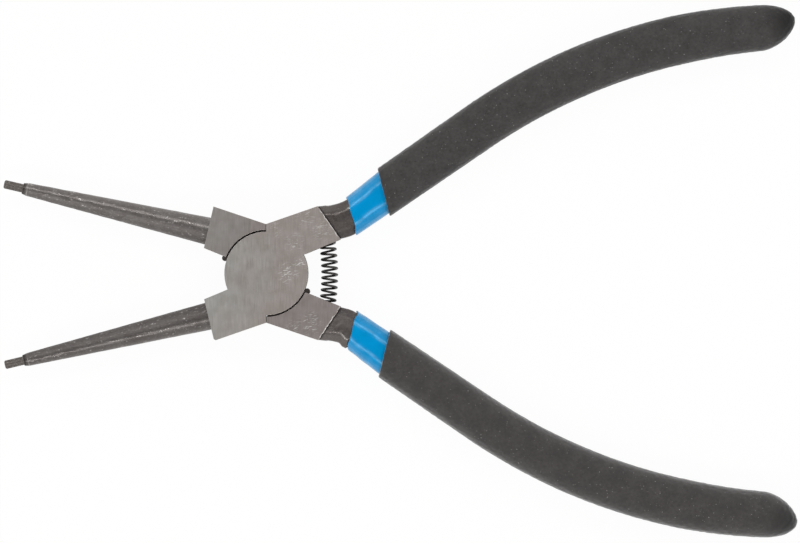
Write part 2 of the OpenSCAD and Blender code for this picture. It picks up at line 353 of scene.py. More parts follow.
def blackened_steel(name, side, dark, light):
    """Forged steel under a thin black oxide: slightly rough and drawn out along the jaw, duller on the inner
    sides, with light rubbed flecks, dashes of bare steel along the outer chamfer edge of the shank as a
    painted highlight that also stands for edge wear, painted shade under the ground face and on the cone at
    the nose, and a broken painted highlight ring at the edge of the nose."""
    material = finish(name, {"Metallic": 0.8})
    hills = grain(material, forged_hill, side * jaw_angle, detail=3)
    pits = grain(material, even(forged_pit), detail=2)
    clouds = grain(material, even(oxide_cloud), detail=2)
    tone = graded(material, clouds, (0.35, dark), (0.65, light))
    shade = graded(material, pits, (0.3, pit_shade), (0.6, white))
    steel = layered(material, 1.0, tone, shade, "MULTIPLY")
    on_jaw = ranged(material, along(material, MM, side * jaw_angle, -jaw_start), 0.0, 1.0, 1.0, 0.0)
    on_shank = worked(material, "SUBTRACT", 1.0, on_jaw)
    inner_jaw = inside(material, side * jaw_angle, -side * jaw_offset, side)
    inner_shank = inside(material, side * handle_angle, 0.0, -side)
    dull = worked(material, "ADD", worked(material, "MULTIPLY", on_jaw, inner_jaw),
                  worked(material, "MULTIPLY", on_shank, inner_shank))
    rubbed = worked(material, "MULTIPLY", ranged(material, hills, 0.56, 0.66, 0.0, 1.0),
                    ranged(material, pits, 0.52, 0.64, 0.0, 0.9))
    rubbed = worked(material, "MULTIPLY", rubbed, ranged(material, on_jaw, 0.0, 1.0, 0.15, 0.65))
    steel = layered(material, rubbed, steel, rubbed_bright)
    steel = layered(material, on_shank, steel, shank_shade, "MULTIPLY")
    # Painted highlight: dashes of bare steel where the normal turns towards the light along the shank's outer
    # chamfer edge, which also stand for edge wear.
    dashes = ranged(material, grain(material, even(bared_dash), detail=2), 0.4, 0.55, 0.0, 1.0)
    wear_and_highlight = add(material, "Attribute", {}, attribute_name="wear_and_highlight").outputs["Fac"]
    bared_highlight_share = worked(material, "MULTIPLY", wear_and_highlight, dashes)
    steel = layered(material, bared_highlight_share, steel, bared_highlight)
    dull = worked(material, "ADD", dull, worked(material, "SUBTRACT", wear_and_highlight, bared_highlight_share))
    # Painted shade: a dark band on the shank just past the step under the ground face, and a darkening of the
    # cone at the nose.
    root = along(material, shade_band_l, side * handle_angle, ground_end - shade_band_back)
    cone = along(material, shade_band_l, math.pi + side * jaw_angle, nose_u - nose_cone_l - shade_band_back)
    for painted_shade in (graded(material, root, (0.32, white), (0.34, root_painted_shade), (0.48, white)),
                   graded(material, cone, (0.36, white), (0.55, cone_painted_shade))):
        steel = layered(material, 1.0, steel, painted_shade, "MULTIPLY")
    # Painted highlight: a thin bright ring, broken by patches, at the edge of the nose.
    ring = graded(material, cone, (0.29, black), (0.32, white), (0.35, white), (0.37, black))
    patches = ranged(material, grain(material, even(nose_patch), detail=1), 0.42, 0.6, 0.05, 0.5)
    steel = layered(material, worked(material, "MULTIPLY", ring, patches), steel, nose_ring_highlight)
    height = worked(material, "ADD", hills, pits)
    rough = worked(material, "ADD", ranged(material, hills, 0.35, 0.65, 0.38, 0.26),
                   worked(material, "MULTIPLY", dull, dull_rough))
    feed(material, {"Base Color": steel, "Roughness": rough,
                    "Normal": embossed(material, height, forged_depth)})
    return material


def turned_over(points):
    """The place on the rear half of points on the front half: half a turn about the X axis at mid-height."""
    return points * [1, -1, -1] + [0, 0, head_t]


def ripple(points, length, seed, count=32):
    """Even random relief: a sum of plane waves with seeded directions and phases and wavelengths near the
    given length, scaled to a root mean square of one."""
    draw = np.random.default_rng(seed)
    direction = draw.normal(size=(count, 3))
    direction /= np.linalg.norm(direction, axis=1, keepdims=True)
    number = 2 * np.pi / (length * draw.uniform(*ripple_spread, count))
    phase = draw.uniform(0, 2 * np.pi, count)
    return np.sin(points @ (direction * number[:, None]).T + phase).sum(axis=1) * math.sqrt(2 / count)


def skin(name, rings):
    """Closed mesh over a grid of rings: quads between each ring and the next, and a flat cap on both ends."""
    rows, points = rings.shape[:2]
    index = np.arange(rows * points).reshape(rows, points)
    ahead = np.roll(index, -1, axis=1)
    quads = np.stack([index[:-1], ahead[:-1], ahead[1:], index[1:]], axis=-1).reshape(-1, 4)
    caps = [index[0].tolist(), index[-1].tolist()]
    mesh = bpy.data.meshes.new(name)
    mesh.from_pydata(rings.reshape(-1, 3).tolist(), [], quads.tolist() + caps)
    work = bmesh.new()
    work.from_mesh(mesh)
    bmesh.ops.recalc_face_normals(work, faces=work.faces)
    work.to_mesh(mesh)
    work.free()
    mesh.shade_smooth()
    return mesh


def of_points(mesh, what="co"):
    """Position, or another row of three values, of every vertex of a mesh."""
    values = np.empty(len(mesh.vertices) * 3)
    mesh.vertices.foreach_get(what, values)
    return values.reshape(-1, 3)


def of_faces(mesh, what):
    """Normal, centre or another row of three values of every face of a mesh."""
    values = np.empty(len(mesh.polygons) * 3)
    mesh.polygons.foreach_get(what, values)
    return values.reshape(-1, 3)


def raised(mesh, height):
    """Moves each vertex along its normal by a height of its own."""
    mesh.vertices.foreach_set("co", (of_points(mesh) + of_points(mesh, "normal") * height[:, None]).ravel())
    mesh.update()


def lathe(profile, sides):
    """Rings of a turned jaw or pin: each radius and length of the profile is carried round the jaw's axis,
    which lies at its offset from the pivot, at mid-height and at the jaw's angle."""
    radius, length = np.asarray(profile).T[:, :, None]
    turn = np.arange(sides) * 2 * np.pi / sides
    outward = jaw_offset + radius * np.cos(turn)
    return np.stack([outward * math.sin(jaw_angle) - length * math.cos(jaw_angle),
                     -outward * math.cos(jaw_angle) - length * math.sin(jaw_angle),
                     mid_z + radius * np.sin(turn)], axis=-1)


def jaw_length(points):
    """Length along the jaw's axis, from the pivot outwards, of points on either half."""
    return -points[:, 0] * math.cos(jaw_angle) + np.abs(points[:, 1]) * math.sin(jaw_angle)


def handle_length(points):
    """Length along the straight part of the handle, from the pivot outwards, of points on either half."""
    return points[:, 0] * math.cos(handle_angle) + np.abs(points[:, 1]) * math.sin(handle_angle)


def share(s, start, end):
    """Straight rise from 0 to 1 between two lengths."""
    return np.clip((s - start) / (end - start), 0, 1)


def on_handle(s, v, z):
    """Places of section points: v across and z above mid-height, at length s along the handle's axis, which
    is straight and then follows an arc. Sections lean by the slant at the open ends of sleeve and grip."""
    lean = slant * np.minimum(share(s, ground_end, sleeve_start), 1 - share(s, grip_start, handle_straight))
    length = s[:, None] + lean[:, None] * v
    heading = handle_angle - np.maximum(0, length - handle_straight) / bend_r
    straight = np.minimum(length, handle_straight)
    middle_x = straight * math.cos(handle_angle) - bend_r * (np.sin(heading) - math.sin(handle_angle))
    middle_y = straight * math.sin(handle_angle) + bend_r * (np.cos(heading) - math.cos(handle_angle))
    return np.stack([middle_x - v * np.sin(heading), middle_y + v * np.cos(heading), mid_z + z], axis=-1)


def bar_section(outward, inward, half_t, grow, corner):
    """Eight-sided sections of the forged bar, grown outwards: the octagon is drawn in by the corner radius,
    each of its corners carries an arc of that radius between the normals of its two sides, and straight
    runs join the arcs. Gives the places across and above the middle, a row for each section."""
    slope = np.array([chamfer_t, chamfer_w]) / math.hypot(chamfer_t, chamfer_w)
    inset = grow - corner
    cut_w = chamfer_w + inset - inset * (1 - slope[1]) / slope[0]
    cut_t = chamfer_t + inset - inset * (1 - slope[0]) / slope[1]
    o, i, h = outward + inset, inward + inset, half_t + inset
    across = np.stack([o, o - cut_w, cut_w - i, -i, -i, cut_w - i, o - cut_w, o], axis=-1)
    above = np.stack([h - cut_t, h, h, h - cut_t, cut_t - h, -h, -h, cut_t - h], axis=-1)
    tilt = math.atan2(slope[1], slope[0])
    quarter = np.array([0, tilt, np.pi / 2, np.pi - tilt])
    sides = np.concatenate([quarter, np.pi + quarter, [2 * np.pi]])
    normals = np.linspace(sides[:-1], sides[1:], section_arc, axis=-1)
    round_off = corner[:, None, None, None] * np.stack([np.cos(normals), np.sin(normals)], axis=-1)
    bends = np.stack([across, above], axis=-1)[:, :, None] + round_off
    steps = (np.arange(section_flat) + 1)[:, None] / (section_flat + 1)
    runs = bends[:, :, -1:] + (np.roll(bends, -1, axis=1)[:, :, :1] - bends[:, :, -1:]) * steps
    ring = np.concatenate([bends, runs], axis=2).reshape(len(outward), -1, 2)
    return ring[..., 0], ring[..., 1]


def bar_rings(s, grow, corner, flash=0.0):
    """Rings of the forged shank grown outwards: it flares to the block at its root, with a low lip beside it,
    swells from the neck to the grip and tapers to its tail. The flash is a shoulder on the outer edge, just
    before the sleeve."""
    flare = (1 - share(s, ground_end, sleeve_start)) ** flare_power
    swell = share(s, sleeve_start, grip_start)
    taper = share(s, handle_straight, handle_l)

    def sized(root, neck, mid, tail):
        body = neck + (mid - neck) * swell
        return (body + (root - body) * flare) * (1 - taper) + tail * taper

    shoulder = share(s, flash_start, flash_top) * (1 - share(s, flash_end, sleeve_start))
    lip = root_lip * (1 - share(s, ground_end + root_lip_l - root_lip_fall, ground_end + root_lip_l))
    outward = sized(block_out, neck_out, shank_half_w, tail_half_w) + lip + flash * shoulder
    inward = sized(block_in, neck_in, shank_half_w, tail_half_w)
    half_t = sized(root_half_t, shank_half_t, shank_half_t, tail_half_t)
    grow, corner = np.broadcast_to(grow, s.shape), np.broadcast_to(corner, s.shape)
    return on_handle(s, *bar_section(outward, inward, half_t, grow, corner))


def bar_tail(grow, corner):
    """Last ring of the grown shank, drawn in to round its tail."""
    half_w, half_t, inset = np.array([[tail_half_w], [tail_half_t], [grow - tail_round]])
    rounding = np.array([max(corner - tail_round, least_corner)])
    return on_handle(np.array([handle_l + grow]), *bar_section(half_w, half_w, half_t, inset, rounding))


def head_of(node, side, corner):
    """Copy of a packed half with its triangles welded, cut off square just inside the ends of its two blocks,
    closed flat there, with the triangles of each flat face joined into whole faces, and with the upright edge
    at the corner rounded off, if a corner is given."""
    work = bmesh.new()
    work.from_mesh(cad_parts[node].data)
    bmesh.ops.remove_doubles(work, verts=work.verts, dist=weld)
    bmesh.ops.dissolve_limit(work, angle_limit=flat_angle, verts=work.verts, edges=work.edges)
    for angle, length in ((math.pi + jaw_angle, jaw_start), (handle_angle, ground_end)):
        way = np.array([math.cos(angle), side * math.sin(angle), 0])
        bmesh.ops.bisect_plane(work, geom=work.verts[:] + work.edges[:] + work.faces[:], dist=weld,
                               plane_co=way * (length - end_trim), plane_no=way, clear_outer=True)
        rim = [edge for edge in work.edges if edge.is_boundary]
        bmesh.ops.triangle_fill(work, edges=rim, normal=way)
    bmesh.ops.recalc_face_normals(work, faces=work.faces)
    bmesh.ops.dissolve_limit(work, angle_limit=flat_angle, verts=work.verts, edges=work.edges)
    if corner is not None:
        upright = [edge for edge in work.edges
                   if all(math.dist(end.co.xy, corner) < 2 * end_trim for end in edge.verts)]
        bmesh.ops.bevel(work, geom=upright, offset=knocked_corner, offset_type="OFFSET",
                        segments=knocked_steps, profile=0.5, affect="EDGES")
    mesh = bpy.data.meshes.new(node + "_head")
    work.to_mesh(mesh)
    work.free()
    mesh.attributes.remove(mesh.attributes["custom_normal"])
    return mesh


def jaw_of(node, place, seed):
    """Turned jaw with its pin bore, tapered from root to nose, with a little forged relief drawn out along
    it. A ring just past the nose keeps the edge of the cone crisp."""
    taper = np.linspace(0, 1, jaw_rows)[:, None]
    nose = np.array([jaw_nose_r, jaw_start + jaw_l])
    past_nose = nose + np.array([nose_face_r - jaw_nose_r, nose_cone_l]) / nose_cone_l * nose_edge
    bore_and_cone = np.array([[tip_seat_r, nose_u - tip_seat_l], [tip_seat_r, nose_u], [nose_face_r, nose_u]])
    body = nose + taper * np.array([jaw_root_r - jaw_nose_r, -jaw_l])
    foot = np.array([[jaw_root_r, jaw_start - jaw_sink]])
    profile = np.concatenate([bore_and_cone, [past_nose], body, foot])
    jaw = skin(node + "_jaw", place(lathe(profile, jaw_sides)))
    length = jaw_length(of_points(jaw))
    fade = share(length, jaw_start + relief_fade, jaw_start + 3 * relief_fade)
    fade = fade * share(-length, -nose_u + relief_fade, -nose_u + 2 * relief_fade)
    raised(jaw, fade * jaw_relief * ripple(of_points(jaw) * [jaw_draw, 1, 1], jaw_relief_l, seed))
    return jaw


def shank_of(node, place, flash, seed):
    """Forged shank from inside the block to its rounded tail, with forged relief where it is bare."""
    bare = np.linspace(ground_end - shank_sink, sleeve_start + relief_fade, bare_rows)
    covered = np.linspace(sleeve_start + 1.5 * relief_fade, handle_l - tail_round, covered_rows)
    body = bar_rings(np.concatenate([bare, covered]), 0.0, corner_r, flash)
    shank = skin(node + "_shank", place(np.concatenate([body, bar_tail(0.0, corner_r)])))
    length = handle_length(of_points(shank))
    fade = share(length, ground_end + relief_start, ground_end + relief_start + relief_fade)
    fade = fade * (1 - share(length, sleeve_start, sleeve_start + 2 * relief_fade))
    raised(shank, fade * shank_relief * ripple(of_points(shank), shank_relief_l, seed))
    return shank


def falling_edges(mesh, least):
    """True for each edge of a closed mesh whose two faces fall away from each other by the least angle."""
    sides = np.empty(len(mesh.polygons), np.int32)
    mesh.polygons.foreach_get("loop_total", sides)
    edges = np.empty(len(mesh.loops), np.int32)
    mesh.loops.foreach_get("edge_index", edges)
    faces = np.repeat(np.arange(len(sides)), sides)[np.argsort(edges, kind="stable")].reshape(-1, 2)
    normal, centre = of_faces(mesh, "normal")[faces], of_faces(mesh, "center")[faces]
    bent = np.einsum("ij,ij->i", normal[:, 0], normal[:, 1]) < math.cos(least)
    return bent & (np.einsum("ij,ij->i", normal[:, 0], centre[:, 1] - centre[:, 0]) < 0)


def broken_edges(mesh):
    """Width by which each edge is broken: none in the rivet's bore, a rounded lip where the ground face runs
    out to the shank, and a touch on every other edge that falls away."""
    ends = np.empty(len(mesh.edges) * 2, np.int32)
    mesh.edges.foreach_get("vertices", ends)
    middle = of_points(mesh)[ends.reshape(-1, 2)].mean(axis=1)
    on_face = np.minimum(np.abs(middle[:, 2]), np.abs(middle[:, 2] - head_t)) < weld
    on_lip = on_face & (np.abs(handle_length(middle) - ground_end + end_trim) < end_trim / 2)
    width = np.where(on_lip, lip_break, edge_break)
    outside = np.hypot(middle[:, 0], middle[:, 1]) > rivet_clear
    return np.where(falling_edges(mesh, falling_angle) & outside, width, 0)


def united(name, meshes):
    """One closed mesh from several closed meshes that run into each other."""
    pieces = [bpy.data.objects.new(mesh.name, mesh) for mesh in meshes]
    for piece in pieces:
        bpy.context.scene.collection.objects.link(piece)
    for limb in pieces[1:]:
        union = pieces[0].modifiers.new(limb.name, "BOOLEAN")
        union.operation = "UNION"
        union.solver = "EXACT"
        union.object = limb
    bpy.context.view_layer.update()
    whole = bpy.data.meshes.new_from_object(pieces[0].evaluated_get(bpy.context.evaluated_depsgraph_get()))
    whole.name = name
    for piece in pieces:
        bpy.data.objects.remove(piece)
    return whole


def highlight_wear_edge(mesh, side, most):
    """Share of bare steel at each point, a painted highlight that also stands for edge wear: a bell curve of
    the angle between its normal and the middle of the turn from the flat to the outer chamfer of the shank,
    at its most there, and none on head and jaw."""
    rise = (math.pi / 2 + math.atan2(chamfer_w, chamfer_t)) / 2
    level = math.cos(rise)
    middle = np.array([-math.sin(handle_angle) * level, side * math.cos(handle_angle) * level,
                       math.sin(rise)])
    points, normal = of_points(mesh), of_points(mesh, "normal")
    normal[:, 2] = np.abs(normal[:, 2])
    angle = np.arccos(np.clip(normal @ middle, -1, 1))
    length = handle_length(points)
    bare = share(length, ground_end + highlight_start, ground_end + highlight_full) * (points[:, 0] > 0)
    return most * bare * np.exp(-(angle / highlight_angle) ** 2)


def forged_half(name, node, body, side, finishes, flash, corner, edge_highlight, seed):
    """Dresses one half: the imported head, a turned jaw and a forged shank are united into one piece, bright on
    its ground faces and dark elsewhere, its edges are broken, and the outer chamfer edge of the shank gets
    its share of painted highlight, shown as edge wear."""
    place = np.asarray if side > 0 else turned_over
    head = head_of(node, side, corner)
    jaw, shank = jaw_of(node, place, seed), shank_of(node, place, flash, seed + 1)
    for mesh in (head, jaw, shank):
        mesh.materials.clear()
        for material in finishes:
            mesh.materials.append(material)
        mesh.polygons.foreach_set("material_index", np.ones(len(mesh.polygons), np.int32))
    height = of_faces(head, "center")[:, 2]
    ground = np.minimum(np.abs(height), np.abs(height - head_t)) < weld
    head.polygons.foreach_set("material_index", np.where(ground, 0, 1).astype(np.int32))
    whole = united(name, [head, jaw, shank])
    width = broken_edges(whole)
    weights = whole.attributes.new("bevel_weight_edge", "FLOAT", "EDGE")
    weights.data.foreach_set("value", (width / width.max()).astype(np.float32))
    piece = bpy.data.objects.new(name, whole)
    bpy.context.scene.collection.objects.link(piece)
    bevel = piece.modifiers.new("edge_break", "BEVEL")
    bevel.limit_method = "WEIGHT"
    bevel.width = width.max()
    bevel.segments = break_steps
    bevel.use_clamp_overlap = False
    bevel.material = 0
    bpy.context.view_layer.update()
    piece.data = bpy.data.meshes.new_from_object(piece.evaluated_get(bpy.context.evaluated_depsgraph_get()))
    piece.modifiers.clear()
    piece.data.shade_smooth()
    piece.data.set_sharp_from_angle(angle=half_crease)
    wear_and_highlight = highlight_wear_edge(piece.data, side, edge_highlight).astype(np.float32)
    piece.data.attributes.new("wear_and_highlight", "FLOAT", "POINT").data.foreach_set("value", wear_and_highlight)
    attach(piece, body)
    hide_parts(node)


# Each knock is its place along X and Y and its radius in millimetres, and the most that its scuffs show.
rear_knocks = [(9.2, -10.4, 3.0, 0.6), (5.5, -11.5, 2.0, 0.4)]
front_knocks = [(4.5, 0.1, 2.6, 0.8), (7.2, 1.9, 2.0, 0.7), (5.8, 6.6, 2.6, 0.5),
                (8.2, 11.6, 2.6, 0.45), (12.0, 9.0, 3.0, 0.45), (2.0, 9.0, 2.0, 0.35)]
rear_bright = ground_steel("ground_rear", -1, display(176, 171, 167), display(170, 161, 158), rear_knocks)
front_bright = ground_steel("ground_front", 1, display(195, 193, 189), display(188, 179, 174), front_knocks)
rear_dark = blackened_steel("blackened_rear", -1, display(112, 107, 105), display(122, 118, 116))
front_dark = blackened_steel("blackened_front", 1, display(101, 96, 94), display(110, 106, 104))
jaw_block_corner = np.array([jaw_corner_out * math.sin(jaw_angle) - jaw_start * math.cos(jaw_angle),
                             -jaw_corner_out * math.cos(jaw_angle) - jaw_start * math.sin(jaw_angle)])
forged_half("forged_rear_half", "rear_half", "rear_lever", side=-1, finishes=[rear_bright, rear_dark],
            flash=flash_h, corner=None, edge_highlight=0.3, seed=3)
forged_half("forged_front_half", "front_half", "front_lever", side=1, finishes=[front_bright, front_dark],
            flash=0.0, corner=jaw_block_corner, edge_highlight=0.5, seed=7)

# The pivot is a soft steel rivet with countersunk heads, hammered until they fill both countersinks and then
# ground away with the faces, so that only their bare ends are left, in the same ground finish.
rivet_r = 3 * MM
rivet_head_r = 4.2 * MM
rivet_head_h = 1.2 * MM
hammered = 0.028 * MM
rivet_sides = 96
rivet_crease = math.radians(30)


def spun(profile, sides):
    """Rings round the pivot's axis, one for each radius and height of the profile."""
    radius, height = np.asarray(profile).T[:, :, None]
    turn = np.arange(sides) * 2 * np.pi / sides
    return np.stack([radius * np.cos(turn), radius * np.sin(turn), height + 0 * turn], axis=-1)


rivet_profile = [(rivet_head_r, 0), (rivet_r, rivet_head_h), (rivet_r, head_t - rivet_head_h),
                 (rivet_head_r + hammered, head_t)]
rivet = bpy.data.objects.new("flush_rivet", skin("flush_rivet", spun(rivet_profile, rivet_sides)))
rivet.data.set_sharp_from_angle(angle=rivet_crease)
rivet.data.materials.append(front_bright)
bpy.context.scene.collection.objects.link(rivet)
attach(rivet, "rear_lever")
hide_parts("pivot_rivet")

# The return spring is a compression coil of hard-drawn dark wire, closed at both ends, which sits in a
# blind seat in the inner face of each handle and bows outwards between them.
wire_r = 0.25 * MM
wire_sides = 14
rings_per_turn = 40
coil_r = 1.55 * MM
spring_x = 13.25 * MM
bow_r = 45 * MM
seat_angle = math.radians(11.01)
open_turns = 11.5
closed_turns = 1.5
closed_pitch = 0.56 * MM
wire_mark = 0.15 * MM
wire_depth = 0.008 * MM
wire_dark = display(52, 50, 50)
wire_light = display(92, 89, 87)


def coil(turns):
    """Rings of wire along a coil that is wound on a bowed arc: each turn circles the arc once, and advances
    by the closed pitch near the ends and by an even open pitch between. Also gives the share of the open
    turns that lie behind each ring."""
    opened = np.clip(turns - closed_turns, 0, open_turns)
    length = 2 * seat_angle * bow_r - closed_pitch
    open_pitch = (length - 2 * closed_turns * closed_pitch) / open_turns
    angle = ((closed_pitch * (turns - opened) + open_pitch * opened - length / 2) / bow_r)[:, None]
    wind = (2 * np.pi * turns)[:, None]
    flat = np.zeros_like(angle)
    ahead = np.concatenate([-np.sin(angle), np.cos(angle), flat], axis=1)
    out = np.concatenate([np.cos(angle) * np.cos(wind), np.sin(angle) * np.cos(wind), np.sin(wind)], axis=1)
    arc_x = spring_x + bow_r * (np.cos(angle) - 1)
    arc = np.concatenate([arc_x, bow_r * np.sin(angle), flat + mid_z], axis=1)
    spin = np.arange(wire_sides) * 2 * np.pi / wire_sides
    wire = wire_r * (np.cos(spin)[:, None] * out[:, None] - np.sin(spin)[:, None] * ahead[:, None])
    return (arc + coil_r * out)[:, None] + wire, opened / open_turns


def spring_wire():
    """Oil-tempered wire: near black, with a dull sheen and fine drawn marks."""
    material = finish("spring_wire", {"Metallic": 0.9})
    marks = grain(material, even(wire_mark), detail=3)
    tone = graded(material, marks, (0.3, wire_dark), (0.7, wire_light))
    feed(material, {"Base Color": tone, "Roughness": ranged(material, marks, 0.3, 0.7, 0.28, 0.45),
                    "Normal": embossed(material, marks, wire_depth)})
    return material


rings, follow = coil(np.arange(rings_per_turn * (open_turns + 2 * closed_turns) + 1) / rings_per_turn)
spring = bpy.data.objects.new("coil_spring", skin("coil_spring", rings))
spring.data.materials.append(spring_wire())
bpy.context.scene.collection.objects.link(spring)
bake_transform(spring)
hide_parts("return_spring")

# The two working tips are hardened round pins, pressed into the noses of the jaws up to their shoulders
# and cut off square, with a small chamfer.
tip_r = 0.9 * MM
tip_l = 4 * MM
tip_chamfer = 0.2 * MM
tip_sides = 64
tip_crease = math.radians(30)
tip_mark = 0.3 * MM
tip_depth = 0.01 * MM
tip_dark = display(88, 82, 78)
tip_light = display(112, 106, 102)
tip_rubbed = display(165, 160, 156)


def hard_tip():
    """Hardened pin: dark brown-grey, with light rubbed flecks."""
    material = finish("hard_tip", {"Metallic": 0.9})
    marks = grain(material, even(tip_mark), detail=4)
    tone = graded(material, marks, (0.35, tip_dark), (0.6, tip_light), (0.75, tip_rubbed))
    feed(material, {"Base Color": tone, "Roughness": ranged(material, marks, 0.3, 0.7, 0.42, 0.6),
                    "Normal": embossed(material, marks, tip_depth)})
    return material


tip_finish = hard_tip()
tip_profile = [(tip_seat_r, nose_u - tip_seat_l), (tip_seat_r, nose_u), (tip_r, nose_u),
               (tip_r, nose_u + tip_l - tip_chamfer), (tip_r - tip_chamfer, nose_u + tip_l)]
for lever, place in (("rear", turned_over), ("front", np.asarray)):
    tip = bpy.data.objects.new(lever + "_tip", skin(lever + "_tip", place(lathe(tip_profile, tip_sides))))
    tip.data.set_sharp_from_angle(angle=tip_crease)
    tip.data.materials.append(tip_finish)
    bpy.context.scene.collection.objects.link(tip)
    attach(tip, lever + "_lever")
    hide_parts(lever + "_tip_pin")

# Each shank first gets a thin skin of bright blue vinyl, shrunk on hot, which shows for a short length in
# front of the grip. It follows the eight sides of the steel with soft edges and a slightly wavy rim.
fit_gap = 0.06 * MM
sleeve_wall = 0.4 * MM
sleeve_corner = 2.8 * MM
sleeve_relief = 0.025 * MM
sleeve_relief_l = 3 * MM
sleeve_crease = math.radians(50)
tuck = 1 * MM
shown_rows = 80
tucked_rows = 24
rim_rows = 9
rim_wave = 0.12 * MM
rim_waves = np.array([[2], [5]])
rim_fade = 3 * MM
line_turn = 0.43
line_spread = 0.12
line_wave = 0.06
line_wave_l = 7 * MM
chamfer_gloss_paint = 0.2
corner_gloss_paint = 0.6
vinyl_cloud = 2 * MM
vinyl_dark = display(0, 138, 197)
vinyl_light = display(0, 144, 206)
vinyl_gloss = display(40, 190, 255)
painted_side_reflection = display(112, 165, 200)
painted_line_highlight = display(92, 182, 238)


def sleeve_rings(seed):
    """Rings of the sleeve, a cup round the shank: the inner wall from the closed tail to the rim, half a
    round for the rim, and the outer wall back to the tail. Near the rim all is shifted along by the sum of
    two waves round the sleeve, with seeded phases."""
    turn = np.linspace(0, np.pi, rim_rows)
    middle = np.concatenate([np.linspace(sleeve_start + sleeve_wall / 2, grip_start + tuck, shown_rows),
                             np.linspace(grip_start + 3 * tuck, handle_l - tail_round, tucked_rows)])
    rise = np.concatenate([np.zeros(len(middle)), (1 - np.cos(turn)) / 2, np.ones(len(middle))])
    s = np.concatenate([middle[::-1], sleeve_start + sleeve_wall / 2 * (1 - np.sin(turn)), middle])
    inner_corner = corner_r + fit_gap
    wall = bar_rings(s, fit_gap + sleeve_wall * rise, inner_corner + (sleeve_corner - inner_corner) * rise)
    phase = np.random.default_rng(seed).uniform(0, 2 * np.pi, rim_waves.shape)
    spin = np.linspace(0, 2 * np.pi, wall.shape[1], endpoint=False)
    wave = rim_wave * np.sin(rim_waves * spin + phase).sum(axis=0)
    shift = (1 - share(s, sleeve_start, sleeve_start + rim_fade))[:, None] * wave
    wall = wall + shift[..., None] * [math.cos(handle_angle), math.sin(handle_angle), 0]
    inner_tail = bar_tail(fit_gap, inner_corner)
    return np.concatenate([inner_tail, wall, bar_tail(fit_gap + sleeve_wall, sleeve_corner)])


def painted_gloss_share(mesh, seed):
    """Stores at each point of a sleeve its share of painted highlight and painted reflection: a bell curve of
    the turn from flat to chamfer, at its most along a wavy line, more than half over the corners of the
    sides, a little over chamfers and sides, and nothing on the flats."""
    edge, chamfer, flat = np.linspace(1, 0, section_arc), np.ones(section_flat), np.zeros(section_flat)
    corner = np.ones(section_arc) * corner_gloss_paint / chamfer_gloss_paint
    half_ring = np.concatenate([corner, chamfer, edge, flat, edge[::-1], chamfer, corner, chamfer])
    turn = np.resize(half_ring, len(mesh.vertices))
    line = line_turn + line_wave * np.sin(2 * np.pi * handle_length(of_points(mesh)) / line_wave_l + seed)
    values = np.maximum(np.exp(-((turn - line) / line_spread) ** 2), chamfer_gloss_paint * turn)
    mesh.attributes.new("painted_gloss", "FLOAT", "POINT").data.foreach_set("value", values.astype(np.float32))


def blue_vinyl():
    """Glossy blue vinyl, unevenly glossy: even strong blue, with painted highlight and painted reflection."""
    material = finish("blue_vinyl", {"Specular IOR Level": 0.6, "Specular Tint": vinyl_gloss,
                                     "Sheen Weight": 0.6, "Sheen Roughness": 0.33})
    clouds = grain(material, even(vinyl_cloud), detail=2)
    tone = graded(material, clouds, (0.3, vinyl_dark), (0.7, vinyl_light))
    painted_gloss = add(material, "Attribute", {}, attribute_name="painted_gloss").outputs["Fac"]
    # Painted highlight along the long edges in pale blue, and painted reflection towards the sides in greyish
    # blue.
    pale = worked(material, "MULTIPLY", painted_gloss, ranged(material, clouds, 0.3, 0.6, 0.4, 1.0))
    tone = layered(material, pale, tone, graded(material, pale, (0.5, painted_side_reflection), (0.9, painted_line_highlight)))
    feed(material, {"Base Color": tone, "Roughness": ranged(material, clouds, 0.3, 0.7, 0.16, 0.28)})
    return material


vinyl = blue_vinyl()
for lever, place, seed in (("rear", turned_over, 11), ("front", np.asarray, 13)):
    rings = place(sleeve_rings(seed))
    sleeve = bpy.data.objects.new(lever + "_blue_sleeve", skin(lever + "_blue_sleeve", rings))
    raised(sleeve.data, sleeve_relief * ripple(of_points(sleeve.data), sleeve_relief_l, seed))
    sleeve.data.set_sharp_from_angle(angle=sleeve_crease)
    painted_gloss_share(sleeve.data, seed)
    sleeve.data.materials.append(vinyl)
    bpy.context.scene.collection.objects.link(sleeve)
    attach(sleeve, lever + "_lever")
    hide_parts(lever + "_sleeve")

# Over the sleeve goes a thick soft grip of dark grey foamed vinyl, with a crisp slanted lip, a flattened
# oval section and a blunt nose past the end of the steel, which is darkened by painted shade.
grip_w = 9.9 * MM
grip_mid_w = 10.5 * MM
grip_tail_w = 9.5 * MM
grip_half_t = 4.5 * MM
grip_end = 124.88 * MM
grip_over = 12 * MM
nose_l = 8 * MM
nose_start = grip_end - nose_l
nose_shift = 1.2 * MM
nose_power = 0.56
oval_power = 2.5
lip_round = 0.3 * MM
grip_relief = 0.02 * MM
grip_relief_l = 1.2 * MM
relief_room = 0.075 * MM
grip_crease = math.radians(50)
grip_sides = 128
lip_rows = 7
body_rows = 280
nose_rows = 46
nose_close = 0.94
hollow_rows = 24
nose_shade_in = 1.5 * MM
nose_shade_r = 7 * MM
nose_painted_shade = display(84, 83, 84)
pebble = 0.6 * MM
pebble_depth = 0.045 * MM
pebble_shade = display(212, 212, 212)
speck = 0.3 * MM
speck_light = display(160, 158, 156)
pore_dark = display(38, 37, 36)
foam_cloud = 3 * MM


